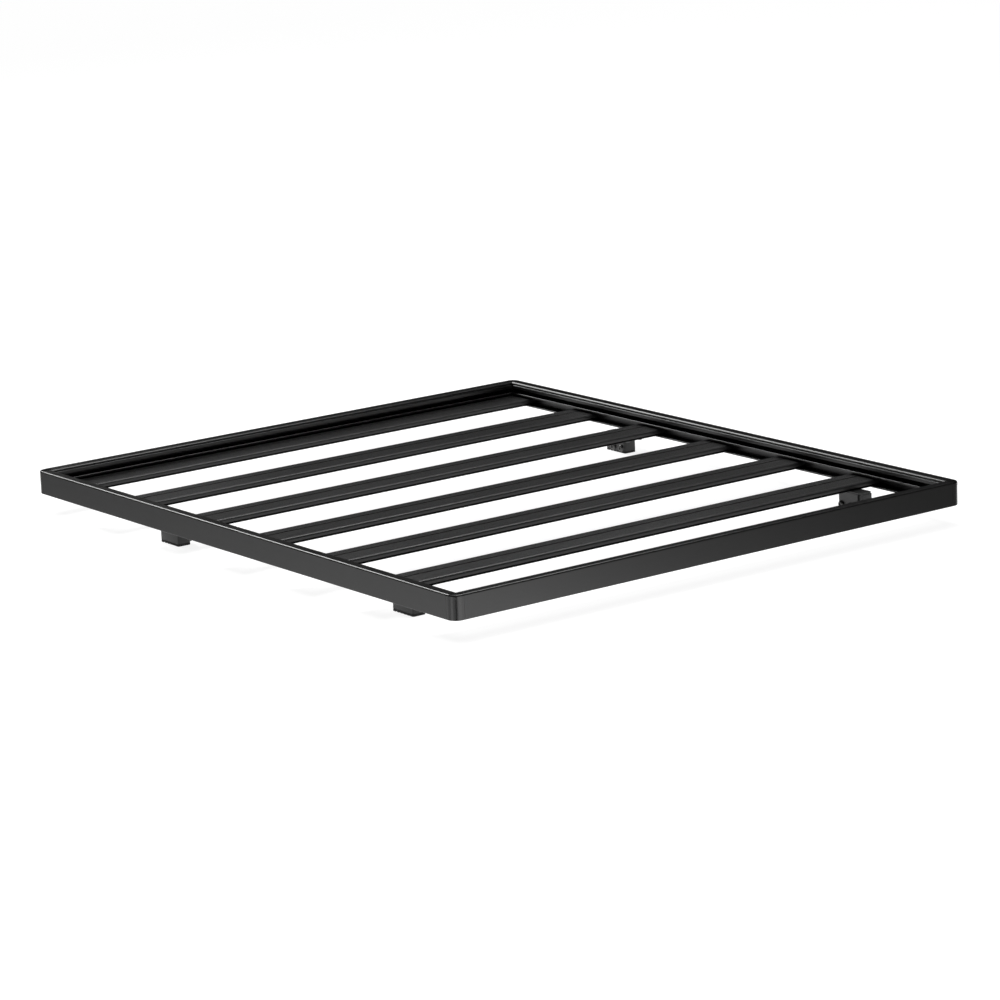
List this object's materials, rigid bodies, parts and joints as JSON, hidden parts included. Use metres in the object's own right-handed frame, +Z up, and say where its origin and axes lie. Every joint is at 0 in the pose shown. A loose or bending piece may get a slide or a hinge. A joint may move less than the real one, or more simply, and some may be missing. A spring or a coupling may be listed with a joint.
{
  "type": "roof platform rack",
  "caption": "Low slatted platform roof rack: extruded perimeter rails with rounded corner castings, flat cross slats and block feet on rubber pads.",
  "frame": {"origin": "centre of the rack in plan, on the plane of the undersides of the rubber foot pads", "axes": "+X across the vehicle along the slats, +Y along the vehicle towards its rear, +Z up"},
  "size_m": [1.165, 1.358, 0.0815],
  "materials": {
    "rail_coat": "satin black powder coat on extruded aluminium",
    "corner_coat": "satin black powder coat on cast aluminium",
    "slat_coat": "fine textured black powder coat on extruded aluminium",
    "foot_coat": "matt black coat on cast aluminium",
    "bracket_coat": "black coated steel plate",
    "pad_rubber": "moulded rubber",
    "black_bolt": "black oxide steel"
  },
  "bodies": {
    "root": {"corner_front_left": "corner_coat", "corner_front_right": "corner_coat", "corner_rear_left": "corner_coat", "corner_rear_right": "corner_coat", "foot_block_front_left": "foot_coat", "foot_block_front_right": "foot_coat", "foot_block_rear_left": "foot_coat", "foot_block_rear_right": "foot_coat", "foot_bracket_front_left": "bracket_coat", "foot_bracket_front_right": "bracket_coat", "foot_bracket_rear_left": "bracket_coat", "foot_bracket_rear_right": "bracket_coat", "foot_pad_front_left": "pad_rubber", "foot_pad_front_right": "pad_rubber", "foot_pad_rear_left": "pad_rubber", "foot_pad_rear_right": "pad_rubber", "foot_side_bolt_front_left_1": "black_bolt", "foot_side_bolt_front_left_2": "black_bolt", "foot_side_bolt_front_right_1": "black_bolt", "foot_side_bolt_front_right_2": "black_bolt", "foot_side_bolt_rear_left_1": "black_bolt", "foot_side_bolt_rear_left_2": "black_bolt", "foot_side_bolt_rear_right_1": "black_bolt", "foot_side_bolt_rear_right_2": "black_bolt", "foot_slat_bolt_front_left_1": "black_bolt", "foot_slat_bolt_front_left_2": "black_bolt", "foot_slat_bolt_front_right_1": "black_bolt", "foot_slat_bolt_front_right_2": "black_bolt", "foot_slat_bolt_rear_left_1": "black_bolt", "foot_slat_bolt_rear_left_2": "black_bolt", "foot_slat_bolt_rear_right_1": "black_bolt", "foot_slat_bolt_rear_right_2": "black_bolt", "rail_front": "rail_coat", "rail_left": "rail_coat", "rail_rear": "rail_coat", "rail_right": "rail_coat", "slat_1": "slat_coat", "slat_2": "slat_coat", "slat_3": "slat_coat", "slat_4": "slat_coat", "slat_5": "slat_coat", "slat_6": "slat_coat", "slat_7": "slat_coat", "slat_bolt_1_left": "black_bolt", "slat_bolt_1_right": "black_bolt", "slat_bolt_2_left": "black_bolt", "slat_bolt_2_right": "black_bolt", "slat_bolt_3_left": "black_bolt", "slat_bolt_3_right": "black_bolt", "slat_bolt_4_left": "black_bolt", "slat_bolt_4_right": "black_bolt", "slat_bolt_5_left": "black_bolt", "slat_bolt_5_right": "black_bolt", "slat_bolt_6_left": "black_bolt", "slat_bolt_6_right": "black_bolt", "slat_bolt_7_left": "black_bolt", "slat_bolt_7_right": "black_bolt"}
  },
  "joints": []
}
